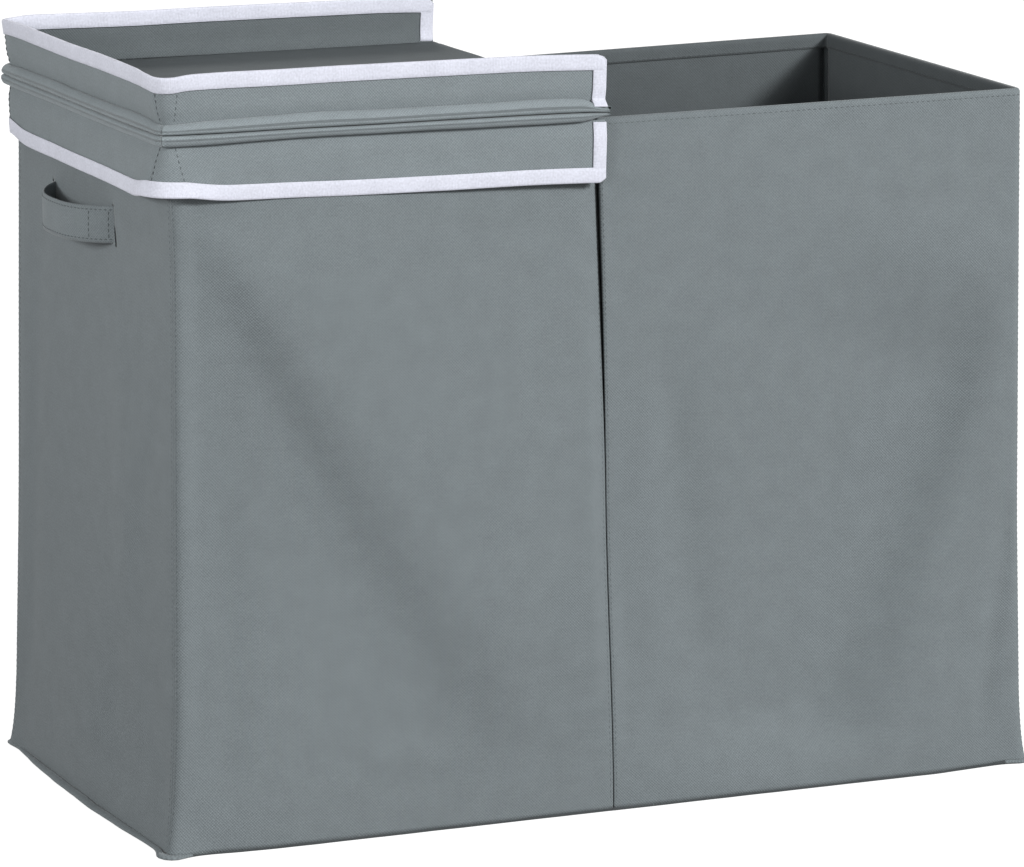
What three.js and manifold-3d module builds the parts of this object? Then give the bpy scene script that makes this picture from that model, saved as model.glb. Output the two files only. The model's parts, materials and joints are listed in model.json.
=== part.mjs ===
// Laundry hamper with a loose folding lid.
// Millimetres, +Z up. The origin is the middle of the base, on the surface the hamper stands on.
// +X is the long side, +Y points to the back. Each wall is a stack: cloth cover, stiff board, lining.
// The lid is shown with its right half folded over onto its left half.

import * as THREE from 'three';
import { mergeVertices } from 'three/addons/utils/BufferGeometryUtils.js';
import Module from 'manifold-3d';

const wasm = await Module();
wasm.setup();

// ---------- driving dimensions ----------

const WIDTH = 648; // across the outer faces of the end walls
const DEPTH = 324; // across the outer faces of the front and back walls
const HEIGHT = 495; // from the floor to the folded rim

const CLOTH = 0.8; // cover, lining and skirt cloth
const BOARD = 2.4; // stiff board in every wall, floor and lid panel
const TAPE = 0.6; // one leaf of the binding tape
const STRAP = 1.2; // handle webbing
const GAP = 0.3; // clearance between neighbouring layers

const HEM_BAND = 11; // cover turned over the rim and down inside
const SEAM_HALF = 0.7; // half of the centre seam between two wall panels
const WELT_OUT = 6; // base seam standing out beyond the walls
const WELT_HEIGHT = 2.4;
const WELT_CORNER = 9; // radius of the welt's corners

const LID_OVERHANG = 1; // lid panel beyond the wall faces
const HINGE_CLEAR = 1.5; // lid panels end this far from the fold line
const ROLL_WIDTH = 6.7; // rolled lid edge, seen from above
const ROLL_HEIGHT = 5.6;
const ROLL_ROUND = 2.4;
const SKIRT_OFFSET = 2.5; // skirt's inner face beyond the wall face
const SKIRT_DROP = 41.5; // skirt's hem below the fold line
const TAPE_WIDTH = 10; // binding tape, across its width

const STRAP_WIDTH = 26;
const STRAP_CENTRE_Z = 421;
const STRAP_CENTRE_Y = 16; // handles sit a little behind the middle of the end walls
const STRAP_BOW = 22; // how far the handle stands off the wall
const STRAP_BOW_POWER = 2.6; // fuller than a parabola
const STRAP_FOOT = 63.5; // where the strap dives into its slit, from the middle of the handle
const STRAP_TAIL_END = 94; // end of the tail sewn inside the wall
const GRIP_HALF = 50; // half length of the part that swings up
const GRIP_GAP = 1.2; // between the swinging part and the sewn ends, whose cut faces slant
const SLIT_WIDTH = 4.6;
const SLIT_EXTRA = 2; // slit taller than the strap, at each end

// ---------- derived dimensions ----------

const HALF_W = WIDTH / 2;
const HALF_D = DEPTH / 2;

// Depth of each layer's outer face below the wall face.
function wallLayers(roomForStrap) {
  const board = CLOTH + GAP + roomForStrap;
  const lining = board + BOARD + GAP;
  const hem = lining + CLOTH + GAP;
  return { board, lining, hem, total: hem + CLOTH };
}

const LONG_WALL = wallLayers(0);
const END_WALL = wallLayers(STRAP + GAP);

const PANEL_BOTTOM = CLOTH + GAP; // walls stand on the base cloth
const PANEL_TOP = HEIGHT - CLOTH - GAP; // boards and linings end under the folded rim
const LONG_REACH = HALF_W - END_WALL.total - GAP; // long walls' inner layers stop at the end walls
const END_REACH = HALF_D - CLOTH - GAP; // end walls stand between the long covers

const LID_LINING_Z = HEIGHT + GAP;
const LID_BOARD_Z = LID_LINING_Z + CLOTH + GAP;
const LID_COVER_Z = LID_BOARD_Z + BOARD + GAP;
const LID_TOP_Z = LID_COVER_Z + CLOTH;
const FOLD_Z = LID_TOP_Z + GAP; // fold line, just above the closed lid panel
const LID_HALF_W = HALF_W + LID_OVERHANG;
const LID_HALF_D = HALF_D + LID_OVERHANG;
const ROLL_BOTTOM = LID_TOP_Z - ROLL_HEIGHT;
const HEM_Z = FOLD_Z - SKIRT_DROP;

// ---------- materials ----------

function paint(colour, roughness) {
  return new THREE.MeshStandardMaterial({ color: colour, roughness, metalness: 0 });
}

const COVER_GREY = 0x747c7e;
const LINING_GREY = 0x5c6264;
const BOARD_BROWN = 0x9b8a6e;
const TAPE_WHITE = 0xdee0ea;
const STRAP_GREY = 0x686f72;

// ---------- shape helpers ----------

function toSolid(geometry) {
  const bare = geometry.clone();
  bare.deleteAttribute('normal');
  bare.deleteAttribute('uv');
  const merged = mergeVertices(bare, 1e-4);
  return new wasm.Manifold(
    new wasm.Mesh({
      numProp: 3,
      vertProperties: new Float32Array(merged.attributes.position.array),
      triVerts: new Uint32Array(merged.index.array),
    }),
  );
}

function toGeometry(solid) {
  const mesh = solid.getMesh();
  const geometry = new THREE.BufferGeometry();
  geometry.setAttribute('position', new THREE.BufferAttribute(mesh.vertProperties, 3));
  geometry.setIndex(new THREE.BufferAttribute(mesh.triVerts, 1));
  geometry.computeVertexNormals();
  return geometry;
}

function join(first, ...others) {
  let solid = toSolid(first);
  for (const other of others) solid = solid.add(toSolid(other));
  return toGeometry(solid);
}

function cut(first, ...tools) {
  let solid = toSolid(first);
  for (const tool of tools) solid = solid.subtract(toSolid(tool));
  return toGeometry(solid);
}

// A block between two values on each axis, given in either order.
function slab([xa, xb], [ya, yb], [za, zb]) {
  const block = new THREE.BoxGeometry(Math.abs(xb - xa), Math.abs(yb - ya), Math.abs(zb - za));
  return block.translate((xa + xb) / 2, (ya + yb) / 2, (za + zb) / 2);
}

function shapeFrom(points) {
  return new THREE.Shape(points.map(([u, v]) => new THREE.Vector2(u, v)));
}

function extrudeUp(shape, bottom, top, curveSegments = 6) {
  const options = { depth: top - bottom, bevelEnabled: false, curveSegments };
  return new THREE.ExtrudeGeometry(shape, options).translate(0, 0, bottom);
}

function roundedRectangle(halfU, halfV, radius) {
  const shape = new THREE.Shape();
  shape.absarc(halfU - radius, halfV - radius, radius, 0, Math.PI / 2);
  shape.absarc(radius - halfU, halfV - radius, radius, Math.PI / 2, Math.PI);
  shape.absarc(radius - halfU, radius - halfV, radius, Math.PI, 1.5 * Math.PI);
  shape.absarc(halfU - radius, radius - halfV, radius, 1.5 * Math.PI, 2 * Math.PI);
  shape.closePath();
  return shape;
}

const hamper = new THREE.Group();

function addPiece(name, geometry, colour, roughness, parent = hamper) {
  const mesh = new THREE.Mesh(geometry, paint(colour, roughness));
  mesh.name = name;
  parent.add(mesh);
  return mesh;
}

const addCloth = (name, geometry, parent) => addPiece(name, geometry, COVER_GREY, 0.92, parent);
const addLining = (name, geometry, parent) => addPiece(name, geometry, LINING_GREY, 0.95, parent);
const addBoard = (name, geometry, parent) => addPiece(name, geometry, BOARD_BROWN, 0.85, parent);

// ---------- front and back walls ----------

// One of the four long-wall panels. sx is -1 on the left, sy is -1 at the front.
function addLongPanel(name, sx, sy) {
  const reach = [sx * LONG_REACH, sx * SEAM_HALF];
  const layer = (depth, thickness) => [sy * (HALF_D - depth), sy * (HALF_D - depth - thickness)];
  const face = slab([sx * HALF_W, sx * SEAM_HALF], layer(0, CLOTH), [PANEL_BOTTOM, HEIGHT]);
  const rim = slab(reach, layer(0, LONG_WALL.total), [HEIGHT - CLOTH, HEIGHT]);
  const hem = slab(reach, layer(LONG_WALL.hem, CLOTH), [HEIGHT - HEM_BAND, HEIGHT]);
  const rise = [PANEL_BOTTOM, PANEL_TOP];
  const [wall, side] = name;
  addCloth(`${wall}_cover_${side}`, join(face, rim, hem));
  addBoard(`${wall}_board_${side}`, slab(reach, layer(LONG_WALL.board, BOARD), rise));
  addLining(`${wall}_lining_${side}`, slab(reach, layer(LONG_WALL.lining, CLOTH), rise));
}

// ---------- end walls ----------

// The strap slants through its slit, so the slit sits a little nearer the handle's middle than the foot.
function strapSlit(sx, sy) {
  const half = STRAP_WIDTH / 2 + SLIT_EXTRA;
  const middle = STRAP_CENTRE_Y + sy * (STRAP_FOOT - SLIT_WIDTH / 4);
  return slab(
    [sx * (HALF_W + GAP), sx * (HALF_W - CLOTH - GAP)],
    [middle - SLIT_WIDTH / 2, middle + SLIT_WIDTH / 2],
    [STRAP_CENTRE_Z - half, STRAP_CENTRE_Z + half],
  );
}

function addEndPanel(side, sx) {
  const span = [-END_REACH, END_REACH];
  const layer = (depth, thickness) => [sx * (HALF_W - depth), sx * (HALF_W - depth - thickness)];
  const face = slab(layer(0, CLOTH), span, [PANEL_BOTTOM, HEIGHT]);
  const rim = slab(layer(0, END_WALL.total), span, [HEIGHT - CLOTH, HEIGHT]);
  const hem = slab(layer(END_WALL.hem, CLOTH), span, [HEIGHT - HEM_BAND, HEIGHT]);
  const cover = cut(join(face, rim, hem), strapSlit(sx, -1), strapSlit(sx, 1));
  const rise = [PANEL_BOTTOM, PANEL_TOP];
  addCloth(`end_cover_${side}`, cover);
  addBoard(`end_board_${side}`, slab(layer(END_WALL.board, BOARD), span, rise));
  addLining(`end_lining_${side}`, slab(layer(END_WALL.lining, CLOTH), span, rise));
}

// ---------- divider ----------

// A board in a cloth sleeve; the sleeve's edges run out through the centre seams of the long walls.
function addDivider() {
  const innerHalf = HALF_D - LONG_WALL.total - GAP;
  const top = HEIGHT - 2 * CLOTH;
  const boardHalf = BOARD / 2;
  const sleeveHalf = boardHalf + GAP + CLOTH;
  const slotHalf = boardHalf + GAP;
  const sleeve = slab([-sleeveHalf, sleeveHalf], [-innerHalf, innerHalf], [PANEL_BOTTOM, top]);
  const slotEnd = innerHalf - CLOTH;
  const slot = slab([-slotHalf, slotHalf], [-slotEnd, slotEnd], [0, top - CLOTH]);
  const flange = slab([-CLOTH / 2, CLOTH / 2], [-HALF_D, HALF_D], [PANEL_BOTTOM, top]);
  addLining('divider_cover', cut(join(sleeve, flange), slot));
  const boardEnd = slotEnd - GAP;
  const rise = [PANEL_BOTTOM, top - CLOTH - GAP];
  addBoard('divider_board', slab([-boardHalf, boardHalf], [-boardEnd, boardEnd], rise));
}

// ---------- base ----------

function addBase() {
  addCloth('base_cloth', slab([-HALF_W, HALF_W], [-HALF_D, HALF_D], [0, CLOTH]));
  const welt = roundedRectangle(HALF_W + WELT_OUT, HALF_D + WELT_OUT, WELT_CORNER);
  const innerU = HALF_W + GAP;
  const innerV = HALF_D + GAP;
  const corners = [
    [-innerU, -innerV],
    [innerU, -innerV],
    [innerU, innerV],
    [-innerU, innerV],
  ];
  welt.holes.push(shapeFrom(corners));
  addCloth('base_seam_welt', extrudeUp(welt, 0, WELT_HEIGHT, 5));
}

// ---------- handles ----------

// Distance of the strap's middle line outside the wall face, y being measured from the handle's middle.
function strapOut(y) {
  const tail = -(CLOTH + GAP + STRAP / 2);
  const along = Math.min(Math.abs(y) / STRAP_FOOT, 1);
  return tail + (STRAP_BOW - tail) * (1 - along ** STRAP_BOW_POWER);
}

// Strap between two places along the wall, as a bent plate standing on its edge.
function strapPiece(sx, from, to, steps) {
  const outer = [];
  const inner = [];
  const nudge = 0.05;
  for (let i = 0; i <= steps; i += 1) {
    const y = from + ((to - from) * i) / steps;
    const slope = (strapOut(y + nudge) - strapOut(y - nudge)) / (2 * nudge);
    const length = Math.hypot(1, slope);
    const acrossOut = STRAP / 2 / length;
    const acrossY = (-slope * STRAP) / 2 / length;
    outer.push([sx * (HALF_W + strapOut(y) + acrossOut), STRAP_CENTRE_Y + y + acrossY]);
    inner.push([sx * (HALF_W + strapOut(y) - acrossOut), STRAP_CENTRE_Y + y - acrossY]);
  }
  const outline = shapeFrom([...outer, ...inner.reverse()]);
  const half = STRAP_WIDTH / 2;
  return extrudeUp(outline, STRAP_CENTRE_Z - half, STRAP_CENTRE_Z + half);
}

function strapEnd(sx, sy) {
  const foot = sy * STRAP_FOOT;
  const tail = strapPiece(sx, sy * STRAP_TAIL_END, foot + sy * STRAP, 1);
  const rise = strapPiece(sx, foot + sy * STRAP, sy * (GRIP_HALF + GRIP_GAP), 10);
  return join(tail, rise);
}

function addHandle(side, sx) {
  addPiece(`${side}_handle_front_end`, strapEnd(sx, -1), STRAP_GREY, 0.9);
  addPiece(`${side}_handle_grip`, strapPiece(sx, -GRIP_HALF, GRIP_HALF, 20), STRAP_GREY, 0.9);
  addPiece(`${side}_handle_rear_end`, strapEnd(sx, 1), STRAP_GREY, 0.9);
}

// ---------- floor panels ----------

// A loose stiffener in a cloth sleeve that is left open towards the divider.
function addFloorPanel(side, sx) {
  const clearance = 2 * GAP;
  const far = sx * (HALF_W - END_WALL.lining - CLOTH - clearance);
  const near = sx * (BOARD / 2 + GAP + CLOTH + clearance);
  const halfY = HALF_D - LONG_WALL.lining - CLOTH - clearance;
  const skin = CLOTH + GAP;
  const bottom = PANEL_BOTTOM;
  const top = bottom + BOARD + 2 * skin;
  const sleeve = slab([far, near], [-halfY, halfY], [bottom, top]);
  const pocket = slab(
    [far - sx * CLOTH, near - sx * clearance],
    [CLOTH - halfY, halfY - CLOTH],
    [bottom + CLOTH, top - CLOTH],
  );
  const mouth = slab(
    [near - sx * 2 * clearance, near - sx * -clearance],
    [CLOTH - halfY, halfY - CLOTH],
    [bottom + CLOTH, top - CLOTH],
  );
  addLining(`${side}_floor_cover`, cut(sleeve, pocket, mouth));
  const board = slab([far - sx * skin, near], [skin - halfY, halfY - skin], [bottom + skin, top - skin]);
  addBoard(`${side}_floor_board`, board);
}

// ---------- lid ----------

// Rolled edge with a rounded section, between two values along one axis.
function rollAlongX(xa, xb, y, z) {
  const section = roundedRectangle(ROLL_WIDTH / 2, ROLL_HEIGHT / 2, ROLL_ROUND);
  const bar = extrudeUp(section, 0, Math.abs(xb - xa), 3);
  bar.applyMatrix4(new THREE.Matrix4().set(0, 0, 1, 0, 1, 0, 0, 0, 0, 1, 0, 0, 0, 0, 0, 1));
  return bar.translate(Math.min(xa, xb), y, z);
}

function rollAlongY(x, ya, yb, z) {
  const turned = rollAlongX(ya, yb, 0, 0).rotateZ(Math.PI / 2);
  return turned.translate(x, 0, z);
}

// Three-sided band outside the walls, open towards the fold line.
function skirtBand(sx, start, innerOffset, outerOffset, bottom, top) {
  const outer = slab(
    [sx * start, sx * (HALF_W + outerOffset)],
    [-HALF_D - outerOffset, HALF_D + outerOffset],
    [bottom, top],
  );
  const inner = slab(
    [0, sx * (HALF_W + innerOffset)],
    [-HALF_D - innerOffset, HALF_D + innerOffset],
    [bottom - 1, top + 1],
  );
  return cut(outer, inner);
}

// Tape folded round the hem and up the two free edges of the skirt.
function bindingTape(sx) {
  const inside = SKIRT_OFFSET - GAP - TAPE;
  const outside = SKIRT_OFFSET + CLOTH + GAP + TAPE;
  const top = ROLL_BOTTOM - GAP;
  const hem = skirtBand(sx, HINGE_CLEAR, inside, outside, HEM_Z, HEM_Z + TAPE_WIDTH);
  const tall = skirtBand(sx, HINGE_CLEAR, inside, outside, HEM_Z, top);
  const beyond = HALF_W + 2 * outside;
  const keepOff = slab(
    [sx * (HINGE_CLEAR + TAPE_WIDTH), sx * beyond],
    [-beyond, beyond],
    [HEM_Z - 1, top + 1],
  );
  const groove = skirtBand(
    sx,
    HINGE_CLEAR + TAPE,
    inside + TAPE,
    outside - TAPE,
    HEM_Z + TAPE,
    top + 1,
  );
  return cut(join(hem, cut(tall, keepOff)), groove);
}

function addLidRolls(side, sx, parent) {
  const rollX = sx * (LID_HALF_W + GAP + ROLL_WIDTH / 2);
  const rollY = LID_HALF_D + GAP + ROLL_WIDTH / 2;
  const rollZ = ROLL_BOTTOM + ROLL_HEIGHT / 2;
  const endY = rollY + ROLL_WIDTH / 2;
  const front = rollAlongX(sx * HINGE_CLEAR, sx * LID_HALF_W, -rollY, rollZ);
  const back = rollAlongX(sx * HINGE_CLEAR, sx * LID_HALF_W, rollY, rollZ);
  addCloth(`${side}_lid_roll_front`, front, parent);
  addCloth(`${side}_lid_roll_end`, rollAlongY(rollX, -endY, endY, rollZ), parent);
  addCloth(`${side}_lid_roll_back`, back, parent);
}

function addLidSkirt(side, sx, parent) {
  const rise = [HEM_Z + TAPE + GAP, ROLL_BOTTOM - GAP];
  const free = sx * (HINGE_CLEAR + TAPE + GAP);
  const inner = SKIRT_OFFSET;
  const outer = SKIRT_OFFSET + CLOTH;
  const along = [free, sx * (HALF_W + inner - GAP)];
  const front = slab(along, [-HALF_D - inner, -HALF_D - outer], rise);
  const back = slab(along, [HALF_D + inner, HALF_D + outer], rise);
  const across = [-HALF_D - outer, HALF_D + outer];
  const end = slab([sx * (HALF_W + inner), sx * (HALF_W + outer)], across, rise);
  addCloth(`${side}_lid_skirt_front`, front, parent);
  addCloth(`${side}_lid_skirt_end`, end, parent);
  addCloth(`${side}_lid_skirt_back`, back, parent);
}

// One half of the lid, closed over its own side of the hamper.
function addLidHalf(side, sx, parent) {
  const along = [sx * HINGE_CLEAR, sx * LID_HALF_W];
  const across = [-LID_HALF_D, LID_HALF_D];
  addLining(`${side}_lid_lining`, slab(along, across, [LID_LINING_Z, LID_LINING_Z + CLOTH]), parent);
  addBoard(`${side}_lid_board`, slab(along, across, [LID_BOARD_Z, LID_BOARD_Z + BOARD]), parent);
  addCloth(`${side}_lid_cover`, slab(along, across, [LID_COVER_Z, LID_TOP_Z]), parent);
  addLidRolls(side, sx, parent);
  addLidSkirt(side, sx, parent);
  addPiece(`${side}_lid_tape`, bindingTape(sx), TAPE_WHITE, 0.8, parent);
}

// Folded strip of cover cloth that joins the two halves along the fold line.
function addLidHinge() {
  const radius = HINGE_CLEAR - GAP;
  const strip = new THREE.CylinderGeometry(radius, radius, 2 * LID_HALF_D, 12);
  const mesh = addCloth('lid_hinge_cloth', strip);
  mesh.position.set(0, 0, FOLD_Z);
}

// The right half is built closed, inside a group that is turned over about the fold line.
function addLid() {
  addLidHinge();
  addLidHalf('left', -1, hamper);
  const turned = new THREE.Group();
  turned.position.set(0, 0, FOLD_Z);
  turned.rotation.y = Math.PI;
  const half = new THREE.Group();
  half.position.set(0, 0, -FOLD_Z);
  turned.add(half);
  hamper.add(turned);
  addLidHalf('right', 1, half);
}

// ---------- assembly ----------

const SIDES = { left: -1, right: 1 };
const WALLS = { front: -1, back: 1 };

addBase();
addDivider();
for (const [side, sx] of Object.entries(SIDES)) {
  for (const [wall, sy] of Object.entries(WALLS)) addLongPanel([wall, side], sx, sy);
  addEndPanel(side, sx);
  addFloorPanel(side, sx);
  addHandle(side, sx);
}
addLid();

export default hamper;
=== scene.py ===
"""Looks of the laundry hamper with a folding lid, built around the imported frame. Metres, +Z up."""

import json
import math
from functools import partial

import bpy
import numpy as np
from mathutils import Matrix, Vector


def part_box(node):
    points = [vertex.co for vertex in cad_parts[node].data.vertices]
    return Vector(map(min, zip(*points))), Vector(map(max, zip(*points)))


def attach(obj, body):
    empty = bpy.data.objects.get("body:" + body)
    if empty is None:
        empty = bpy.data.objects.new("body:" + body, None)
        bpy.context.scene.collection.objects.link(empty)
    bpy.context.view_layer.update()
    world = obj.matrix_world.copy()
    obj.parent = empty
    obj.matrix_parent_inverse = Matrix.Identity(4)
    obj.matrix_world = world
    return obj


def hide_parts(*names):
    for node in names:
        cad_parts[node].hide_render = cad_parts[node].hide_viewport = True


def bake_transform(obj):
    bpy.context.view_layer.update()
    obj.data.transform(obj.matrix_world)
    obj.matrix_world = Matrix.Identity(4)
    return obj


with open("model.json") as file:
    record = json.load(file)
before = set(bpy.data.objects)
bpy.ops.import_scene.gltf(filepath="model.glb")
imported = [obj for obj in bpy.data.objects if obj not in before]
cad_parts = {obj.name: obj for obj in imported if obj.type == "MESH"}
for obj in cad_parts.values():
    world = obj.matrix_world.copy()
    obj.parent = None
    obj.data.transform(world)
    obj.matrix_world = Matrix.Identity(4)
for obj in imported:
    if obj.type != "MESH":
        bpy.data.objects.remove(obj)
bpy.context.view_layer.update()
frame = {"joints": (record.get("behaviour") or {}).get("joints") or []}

# ---------- sizes from the frame ----------

MM = 0.001
JOINTS = {joint["name"]: joint for joint in frame["joints"]}
HALF_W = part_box("end_cover_right")[1].x
HALF_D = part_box("back_cover_left")[1].y
RIM_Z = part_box("front_cover_left")[1].z
FOLD_Z = JOINTS["lid_fold"]["pos_m"][2]
SKIRT_DROP = FOLD_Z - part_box("left_lid_tape")[0].z
LID_START = -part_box("left_lid_board")[1].x
STRAP_LOW, STRAP_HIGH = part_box("left_handle_grip")[0].z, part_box("left_handle_grip")[1].z
STRAP_MID = (STRAP_LOW + STRAP_HIGH) / 2
STRAP_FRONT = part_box("left_handle_front_end")[0].y
STRAP_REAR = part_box("left_handle_rear_end")[1].y
STRAP_Y = (STRAP_FRONT + STRAP_REAR) / 2
STRAP_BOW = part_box("right_handle_grip")[1].x - HALF_W
DIVIDER_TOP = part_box("divider_cover")[1].z

# ---------- sizes of the looks ----------

CLOTH = 0.8 * MM
CORNER = 7 * MM  # radius of the vertical corners
CORNER_FOOT = -3 * MM  # the corners get sharper at the base
RIM_ROUND = 2.85 * MM  # radius of the cover's turn over the rim
HEM_BAND = 11 * MM
LEAN = 4 * MM  # walls lean in this far at the rim
GIVE = 9 * MM  # long walls give way inwards at the middle of the rim
DIP = 3.5 * MM  # and their rim sinks there
FOOT_BOW = 11 * MM  # at the foot they bow outwards
FOOT_SPREAD = 4 * MM  # and the end walls spread this much more than at the rim
LID_BULGE = 4 * MM  # the lid's closed end stands out further than the wall below it
BULGE_RIGHT = 3.5 * MM  # the right end stands out
BULGE_LEFT_BACK = 6.5 * MM  # the left end stands out, most at its back corner
BULGE_LEFT_FRONT = 9 * MM  # and at the foot of its front corner
CORNER_PINCH = 3 * MM  # which bows in above its foot
SEAM_SHIFT = 4 * MM  # centre seam drifts sideways towards the rim
STEP = 3 * MM  # mesh spacing of the big panels
LID_STEP = 2.5 * MM  # and of the lid's skirts and rolls
TAPE_WIDTH = 10 * MM
SLIT = 61.5 * MM  # from the handle's middle to each slit


# ---------- numbers ----------


def smooth(x):
    x = np.clip(x, 0, 1)
    return x * x * (3 - 2 * x)


def fade(x, width):
    """A smooth step from 0 to 1 as x rises from zero to a width in millimetres."""
    return smooth(x / (width * MM))


def mesh_of(u, v):
    """Two lists of places as a grid."""
    return np.meshgrid(u, v, indexing="ij")


def join(*parts, axis=0):
    return np.concatenate(parts, axis=axis)


def with_height(xy, z):
    return join(xy, z[..., None], axis=-1)


def bell(x, width):
    """A smooth hump of height 1 about zero, its width in millimetres."""
    return np.exp(-((x / (width * MM)) ** 2))


def soft_noise(u, v, size_u, size_v, seed):
    """Even, repeatable noise from -1 to 1, with features of about that size in millimetres."""
    rng = np.random.default_rng(seed)
    lattice = rng.uniform(-1, 1, (64, 64))
    gu, gv = np.asarray(u) / (size_u * MM), np.asarray(v) / (size_v * MM)
    iu, iv = np.floor(gu).astype(int), np.floor(gv).astype(int)
    fu, fv = smooth(gu - iu), smooth(gv - iv)
    low = lattice[iu % 64, iv % 64] * (1 - fu) + lattice[(iu + 1) % 64, iv % 64] * fu
    iv = iv + 1
    high = lattice[iu % 64, iv % 64] * (1 - fu) + lattice[(iu + 1) % 64, iv % 64] * fu
    return low * (1 - fv) + high * fv


def from_line(u, v, start, end):
    """How far along a line each place is, from 0 to 1, and how far off it."""
    (u0, v0), (u1, v1) = np.array(start) * MM, np.array(end) * MM
    length = math.hypot(u1 - u0, v1 - v0)
    du, dv = (u1 - u0) / length, (v1 - v0) / length
    along = ((u - u0) * du + (v - v0) * dv) / length
    return along, (u - u0) * dv - (v - v0) * du


def crease(u, v, start, end, width, height):
    """A soft ridge, or a valley where height is negative, along a line; it fades at its ends."""
    along, off = from_line(u, v, start, end)
    ends = smooth((along + 0.15) / 0.3) * smooth((1.15 - along) / 0.3)
    return height * MM * bell(off, width) * ends


def slope(u, v, start, end, width, height):
    """A soft step along a line: cloth on its upper side stands out, and settles back far away."""
    along, off = from_line(u, v, start, end)
    off = -off if end[0] > start[0] else off
    broad = width * MM * (0.6 + 0.7 * np.clip(along, 0, 1))
    far = bell(np.maximum(off, 0), 150) * bell(np.minimum(off, 0), 60)
    ends = smooth((along + 0.12) / 0.3) * smooth((1.25 - along) / 0.4)
    return height * MM * (0.5 + 0.5 * np.tanh(off / broad)) * far * ends


# ---------- the line round the hamper ----------
# s runs counter-clockwise from the front centre seam, seen from above, along the walls' outer faces.

RUN_X = HALF_W - CORNER
RUN_Y = HALF_D - CORNER
ARC = CORNER * math.pi / 2
KNOTS = np.cumsum([0, RUN_X, ARC, 2 * RUN_Y, ARC, 2 * RUN_X, ARC, 2 * RUN_Y, ARC, RUN_X])
PERIMETER = KNOTS[-1]
RIGHT_FRONT, RIGHT_BACK, BACK_RIGHT = KNOTS[2:5]
BACK_LEFT, LEFT_BACK, LEFT_FRONT, FRONT_LEFT = KNOTS[5:9]
BACK_SEAM = PERIMETER / 2
SIGNS = np.array([(-1, -1), (1, -1), (1, 1), (-1, 1)])
FOOT_CORNERS = (RIGHT_FRONT, BACK_RIGHT, LEFT_BACK, FRONT_LEFT)
LEFT_SIDE = 6  # number of the straight run along the left end, counted from the front, corners included


def station(s):
    """Which straight run or corner a place on the line is in, and how far along it."""
    s = np.mod(s, PERIMETER)
    part = np.clip(np.searchsorted(KNOTS, s, side="right") - 1, 0, 8)
    t = (s - KNOTS[part]) / (KNOTS[part + 1] - KNOTS[part])
    t = np.where(part == 0, 0.5 + 0.5 * t, np.where(part == 8, 0.5 * t, t))
    return part % 8, t


def nearest(s, places):
    """Distance along the line to the nearest of some places."""
    away = np.mod(s[..., None] - np.array(places) + PERIMETER / 2, PERIMETER) - PERIMETER / 2
    return abs(away).min(-1)


def plan(s, out, radius):
    """Point out beyond the wall faces, at a place on the line, with corners of that radius."""
    s, out, radius = np.broadcast_arrays(s, out, radius)
    part, t = station(s)
    side, corner = part // 2, part % 2 == 1
    first, last = SIGNS[side], SIGNS[(side + 1) % 4]
    sign = first + (last - first) * np.where(corner, 1.0, t)[..., None]
    centre = sign * np.stack([HALF_W - radius, HALF_D - radius], -1)
    angle = (side - 1 + np.where(corner, t, 0)) * math.pi / 2
    way = np.stack([np.cos(angle), np.sin(angle)], -1)
    return centre + (radius + out)[..., None] * way


def settle(points, give=GIVE, level=None):
    """Leans the walls in towards the rim and lets the long walls give way between their corners."""
    x, y, z = points[..., 0], points[..., 1], points[..., 2]
    k = np.clip((z if level is None else level) / RIM_Z, 0, 1)
    middle = np.clip(1 - abs(x) / HALF_W, 0, 1)
    drift = -SEAM_SHIFT * (give > 0) * k**2 * smooth(middle)
    bow = FOOT_BOW * (give > 0) * (1 - smooth(k * 2.2)) * (0.5 + 0.5 * smooth(middle * 4))
    inward = LEAN * k + give * k**3 * middle - bow
    sunk = DIP * (give > 0) * k**2 * middle
    right, left = np.clip(x / HALF_W, 0, 1) ** 2, np.clip(-x / HALF_W, 0, 1) ** 2
    back = np.clip((y / HALF_D + 1) / 2, 0, 1)
    front_foot = BULGE_LEFT_FRONT * np.exp(-k / 0.14) - CORNER_PINCH * smooth((1 - k) * 5)
    bulge = BULGE_RIGHT * right - left * (front_foot * (1 - back) + BULGE_LEFT_BACK * back)
    bulge = bulge + FOOT_SPREAD * (1 - k) * (right - left) * back
    bulge = bulge - (give == 0) * LID_BULGE * left
    x = x * (1 - LEAN * k / HALF_W) + drift + bulge
    return np.stack([x, y * (1 - inward / HALF_D), z - sunk], -1)


lid_settle = partial(settle, give=0, level=RIM_Z)  # the lid doesn't give way or sink


def wall_point(s, z, out):
    s, z, out = np.broadcast_arrays(s, z, out)
    radius = CORNER + CORNER_FOOT * smooth(1 - z / (60 * MM))
    xy = plan(s, out, radius)
    return settle(with_height(xy, z))


# ---------- mesh helpers ----------


def add_object(name, data):
    thing = bpy.data.objects.new(name, data)
    bpy.context.scene.collection.objects.link(thing)
    return thing


def new_object(name, vertices, faces, material, uv):
    """A smooth mesh; the "cloth" layer holds metres along the cloth, for its weave."""
    mesh = bpy.data.meshes.new(name)
    mesh.from_pydata(np.asarray(vertices, float).reshape(-1, 3).tolist(), [], faces)
    layer = mesh.uv_layers.new(name="cloth")
    corners = np.zeros(len(mesh.loops), np.int32)
    mesh.loops.foreach_get("vertex_index", corners)
    layer.data.foreach_set("uv", np.asarray(uv, float).reshape(-1, 2)[corners].ravel())
    mesh.polygons.foreach_set("use_smooth", np.ones(len(mesh.polygons), bool))
    mesh.materials.append(material)
    mesh.update()
    return add_object(name, mesh)


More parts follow.
